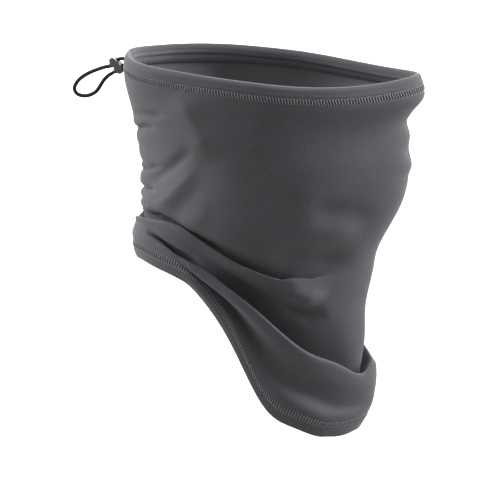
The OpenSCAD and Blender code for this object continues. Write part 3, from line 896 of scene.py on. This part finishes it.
def line_at(depths, depth, face):
    """Points and normals at one depth in every column, on the outer (+1) or inner (-1) face."""
    order = 1 if depths[0, 0] < depths[-1, 0] else -1
    p, n = (np.array([between(grid[::order, j], depths[::order, j], depth) for j in range(COLUMNS + 1)])
            for grid in (wall, wall_normal))
    n = unit(n)
    offset = FABRIC_T / 2 if face > 0 else -(LAYERS + FABRIC_T / 2)
    return p + n * offset, n * face


def along_line(line, at):
    """Values of a line at fractional columns."""
    return between(line, np.arange(len(line)), at % COLUMNS)


def even_columns(line, pitch):
    """Fractional columns an even distance apart along a line."""
    run = run_along(line)
    count = int(round(run[-1] / pitch))
    return np.interp(np.arange(count) * run[-1] / count, run, np.arange(len(line)))


def hem_stitching(name, depths, depth, node, free=0.0):
    """Coverstitch round a hem: a ladder between two needle rows outside, crossing loops inside.

    The ladder leaves free columns on each side of the back seam."""
    outer, inner = [], []
    for face, parts in ((1, outer), (-1, inner)):
        upper, up_n = line_at(depths, depth - STITCH_H / 2, face)
        lower, _ = line_at(depths, depth + STITCH_H / 2, face)
        at = even_columns(upper, STITCH_PITCH)
        step = np.roll(at, -1) - at
        step = np.where(step < 0, step + COLUMNS, step)
        if face > 0:
            keep = (at >= free) & (at + step <= COLUMNS - free)
            at, step = at[keep], step[keep]
        n = along_line(up_n, at)
        top, low = along_line(upper, at), along_line(lower, at + LADDER_LEAN * step)
        if face > 0:
            parts.append(stitches(top, low, n, *RUNG))
            for line in (upper, lower):
                start, end = (along_line(line, at + share * step) for share in (ROW_GAP, 1 - ROW_GAP))
                parts.append(stitches(start, end, n, *NEEDLE, fine=True))
        else:
            parts.append(stitches(top, low, n, *LOOP_BACK))
            parts.append(stitches(top, along_line(lower, at + step), n, *LOOP_ON))
    points, faces = gather(outer + inner)
    outside = sum(len(part[1]) for part in outer)
    obj = sewn(name, points, faces, node, thread_look)
    obj.data.materials.append(inner_thread)
    obj.data.polygons.foreach_set("material_index", np.repeat([0, 1], [outside, len(faces) - outside]))


def sewn(name, points, faces, node, look):
    return place(link(name, points * MM, faces, look), "garment", node)


OVERLOCK_HALF_W, OVERLOCK_GAP, CLEAR_OF_HEM = 2.1, 0.06, 1.0
CLEAR_OF_CLOTH = 0.05
# the overlock's threads from left to right, from right to left and along its rows
LOOP_OVER, LOOP_UNDER, ROW = (0.75, THREAD_R), (0.62, THREAD_R), (0.2, THREAD_R * 0.9)


def seam_stitching(name, column, node):
    """Overlock along a seam's inner side: crossing loops between two rows, over the joined edges."""
    run = depth_down[:, column]
    first, last = TOP_HEM + CLEAR_OF_HEM, run[-1] - BOTTOM_HEM - CLEAR_OF_HEM
    count = int((last - first) / STITCH_PITCH)
    rows = np.arange(len(run))
    at = np.interp(first + np.arange(count) * STITCH_PITCH, run, rows)
    p, n = between(wall[:, column], rows, at), unit(between(wall_normal[:, column], rows, at))
    p = p - n * (FABRIC_T / 2 + CLEAR_OF_CLOTH)
    side = np.tile([0, OVERLOCK_HALF_W, 0], (count, 1))
    step, up = np.gradient(p, axis=0), -n
    left_row, right_row = p + side, p - side
    parts = [stitches(left_row, right_row + step * LADDER_LEAN, up, *LOOP_OVER),
             stitches(right_row, left_row + step * (1 - LADDER_LEAN), up, *LOOP_UNDER)]
    for row in (left_row[:-1], right_row[:-1]):
        start, end = (row + step[:-1] * share for share in (OVERLOCK_GAP, 1 - OVERLOCK_GAP))
        parts.append(stitches(start, end, up[:-1], *ROW, fine=True))
    points, faces = gather(parts)
    sewn(name, points, faces, node, inner_thread)


SLIT_STITCHES, BAR_STITCHES = 52, 7
SLIT_INNER, SLIT_OUTER = -0.1, 1.15     # from the slit's edge to the stitches' ends
SLIT_THREAD, BAR_THREAD = (0.26, 0.21), (0.3, 0.22)
# the bars at the slit's ends: distance from the end, half width, half height, and how far they stand out
BAR_AWAY, BAR_HALF_W, BAR_HALF_H, BAR_OUT = 0.9, 1.5, 0.7, 0.1
BACK_ROUNDING = 84.0    # twice the radius of the tube's back


def slit_stitching():
    """Buttonhole stitches round the cord's slit, with a bar at each end."""
    turn = np.arange(SLIT_STITCHES) * 2 * math.pi / SLIT_STITCHES
    out = np.stack([np.cos(turn) * SLIT_HALF_H, np.sin(turn) * SLIT_HALF_W], 1)
    face = unit(np.stack([np.cos(turn) / SLIT_HALF_H, np.sin(turn) / SLIT_HALF_W], 1))
    back = wall[:, 0]

    def cloth_x(z):
        return np.interp(-z, -back[:, 2], back[:, 0]) - FABRIC_T / 2

    def round_slit(offset):
        z, y = SLIT_MIDDLE + out[:, 0] + face[:, 0] * offset, out[:, 1] + face[:, 1] * offset
        return np.stack([cloth_x(z) + y ** 2 / BACK_ROUNDING, y, z], 1)

    up = np.tile([-1.0, 0, 0], (SLIT_STITCHES, 1))
    parts = [stitches(round_slit(SLIT_INNER), round_slit(SLIT_OUTER), up, *SLIT_THREAD)]
    for z in (SLIT_TOP + BAR_AWAY, SLIT_LOW - BAR_AWAY):
        start = np.array([[cloth_x(z) - BAR_OUT, y, z - BAR_HALF_H]
                          for y in np.linspace(-BAR_HALF_W, BAR_HALF_W, BAR_STITCHES)])
        parts.append(stitches(start, start + [0, 0, 2 * BAR_HALF_H], up[:BAR_STITCHES], *BAR_THREAD))
    points, faces = gather(parts)
    sewn("slit_buttonhole", points, faces, "cord_slit_binding", thread_look)


hem_stitching("top_coverstitch", depth_down, HEM_STITCH, "top_hem_stitching", SLIT_FREE)
hem_stitching("bottom_coverstitch", depth_up, EDGE_STITCH, "bottom_hem_stitching")
seam_stitching("back_overlock", 0, "back_seam_thread")
seam_stitching("front_overlock", FRONT, "front_seam_thread")
slit_stitching()

HEM_CORD_SIDES, SPLICE_SIDES, SPLICE_STEP = 16, 20, 0.3
SPLICE_COLUMNS = 5      # on each side of the front seam
WHIPPING_T, WHIPPING_RELIEF, WHIPPING_PITCH = 0.28, 0.08, 0.6


def whipping(turn, along):
    """Relief of thread wound round and round."""
    return WHIPPING_RELIEF * np.cos(along * 2 * math.pi / WHIPPING_PITCH) + 0 * turn


def make_hem_cord():
    """The drawcord's hidden run in the top hem's channel, and the sleeve that joins its ends at the front."""
    middle = wall[1] - wall_normal[1] * (CHANNEL + FABRIC_T) / 2
    points, faces = tube_mesh(middle[2:COLUMNS - 1], CORD_D / 2, HEM_CORD_SIDES, bulge=braid)
    place(link("hem_cord", points * MM, faces, cord_look), "garment", "hem_drawcord")
    line = spline(middle[FRONT - SPLICE_COLUMNS:FRONT + SPLICE_COLUMNS + 1:2], SPLICE_STEP)
    points, faces = tube_mesh(line, CORD_D / 2 + WHIPPING_T, SPLICE_SIDES, bulge=whipping)
    sewn("splice_whipping", points, faces, "cord_splice", thread_look)


make_hem_cord()

# ---- studio

PALE = (0.25, 0.25, 0.25)
WORLD_LOW, WORLD_HIGH = 0.55, 2.1       # the sky's strength at the horizon and overhead
FLOOR_BELOW, FLOOR_HALF = 0.09, 6.0
MIDDLE = Vector((0, 0, -0.12))          # what the lights stand round
SOFTBOX_H = 1.6
# name, degrees from the camera's side, distance, height over the middle, width, watts, and what it points at
SOFTBOXES = [("left_softbox", -104, 1.15, 0.60, 0.5, 46.0, "middle"),
             ("right_softbox", 91, 1.1, 0.65, 0.5, 65.0, "middle"),
             ("backdrop_softbox", 180, 2.4, 1.10, 3.0, 300.0, "floor")]


def make_studio():
    m, _, _ = new_material("pale_floor", PALE, roughness=0.9, specular=0.1)
    z, e = cad_box[0][2] - FLOOR_BELOW, FLOOR_HALF
    link("floor", [(-e, -e, z), (e, -e, z), (e, e, z), (-e, e, z)], [(0, 1, 2, 3)], m, False)
    world = bpy.data.worlds.new("studio")
    world.use_nodes = True
    tree = world.node_tree
    coords = tree.nodes.new("ShaderNodeTexCoord")
    split = tree.nodes.new("ShaderNodeSeparateXYZ")
    tree.links.new(coords.outputs["Generated"], split.inputs[0])
    height = math_node(tree, "MAXIMUM", split.outputs[2], 0.0)
    strength = math_node(tree, "ADD", WORLD_LOW, math_node(tree, "MULTIPLY", height, WORLD_HIGH - WORLD_LOW))
    tree.links.new(strength, tree.nodes["Background"].inputs["Strength"])
    tree.nodes["Background"].inputs["Color"].default_value = (1, 1, 1, 1)
    scene.world = world
    front = Vector((math.sin(VIEW_AZIMUTH), -math.cos(VIEW_AZIMUTH), 0))
    for name, degrees, out, up, width, power, target in SOFTBOXES:
        turn = math.radians(degrees)
        data = bpy.data.lights.new(name, "AREA")
        data.shape = "RECTANGLE"
        data.size, data.size_y = width, SOFTBOX_H
        data.energy = power
        light = bpy.data.objects.new(name, data)
        around = front * math.cos(turn) + view_right * math.sin(turn)
        light.location = MIDDLE + out * around + Vector((0, 0, up))
        aim = MIDDLE - light.location if target == "middle" else Vector((0, 0, -1))
        light.rotation_euler = aim.to_track_quat("-Z", "Y").to_euler()
        scene.collection.objects.link(light)


make_studio()

bpy.context.view_layer.update()
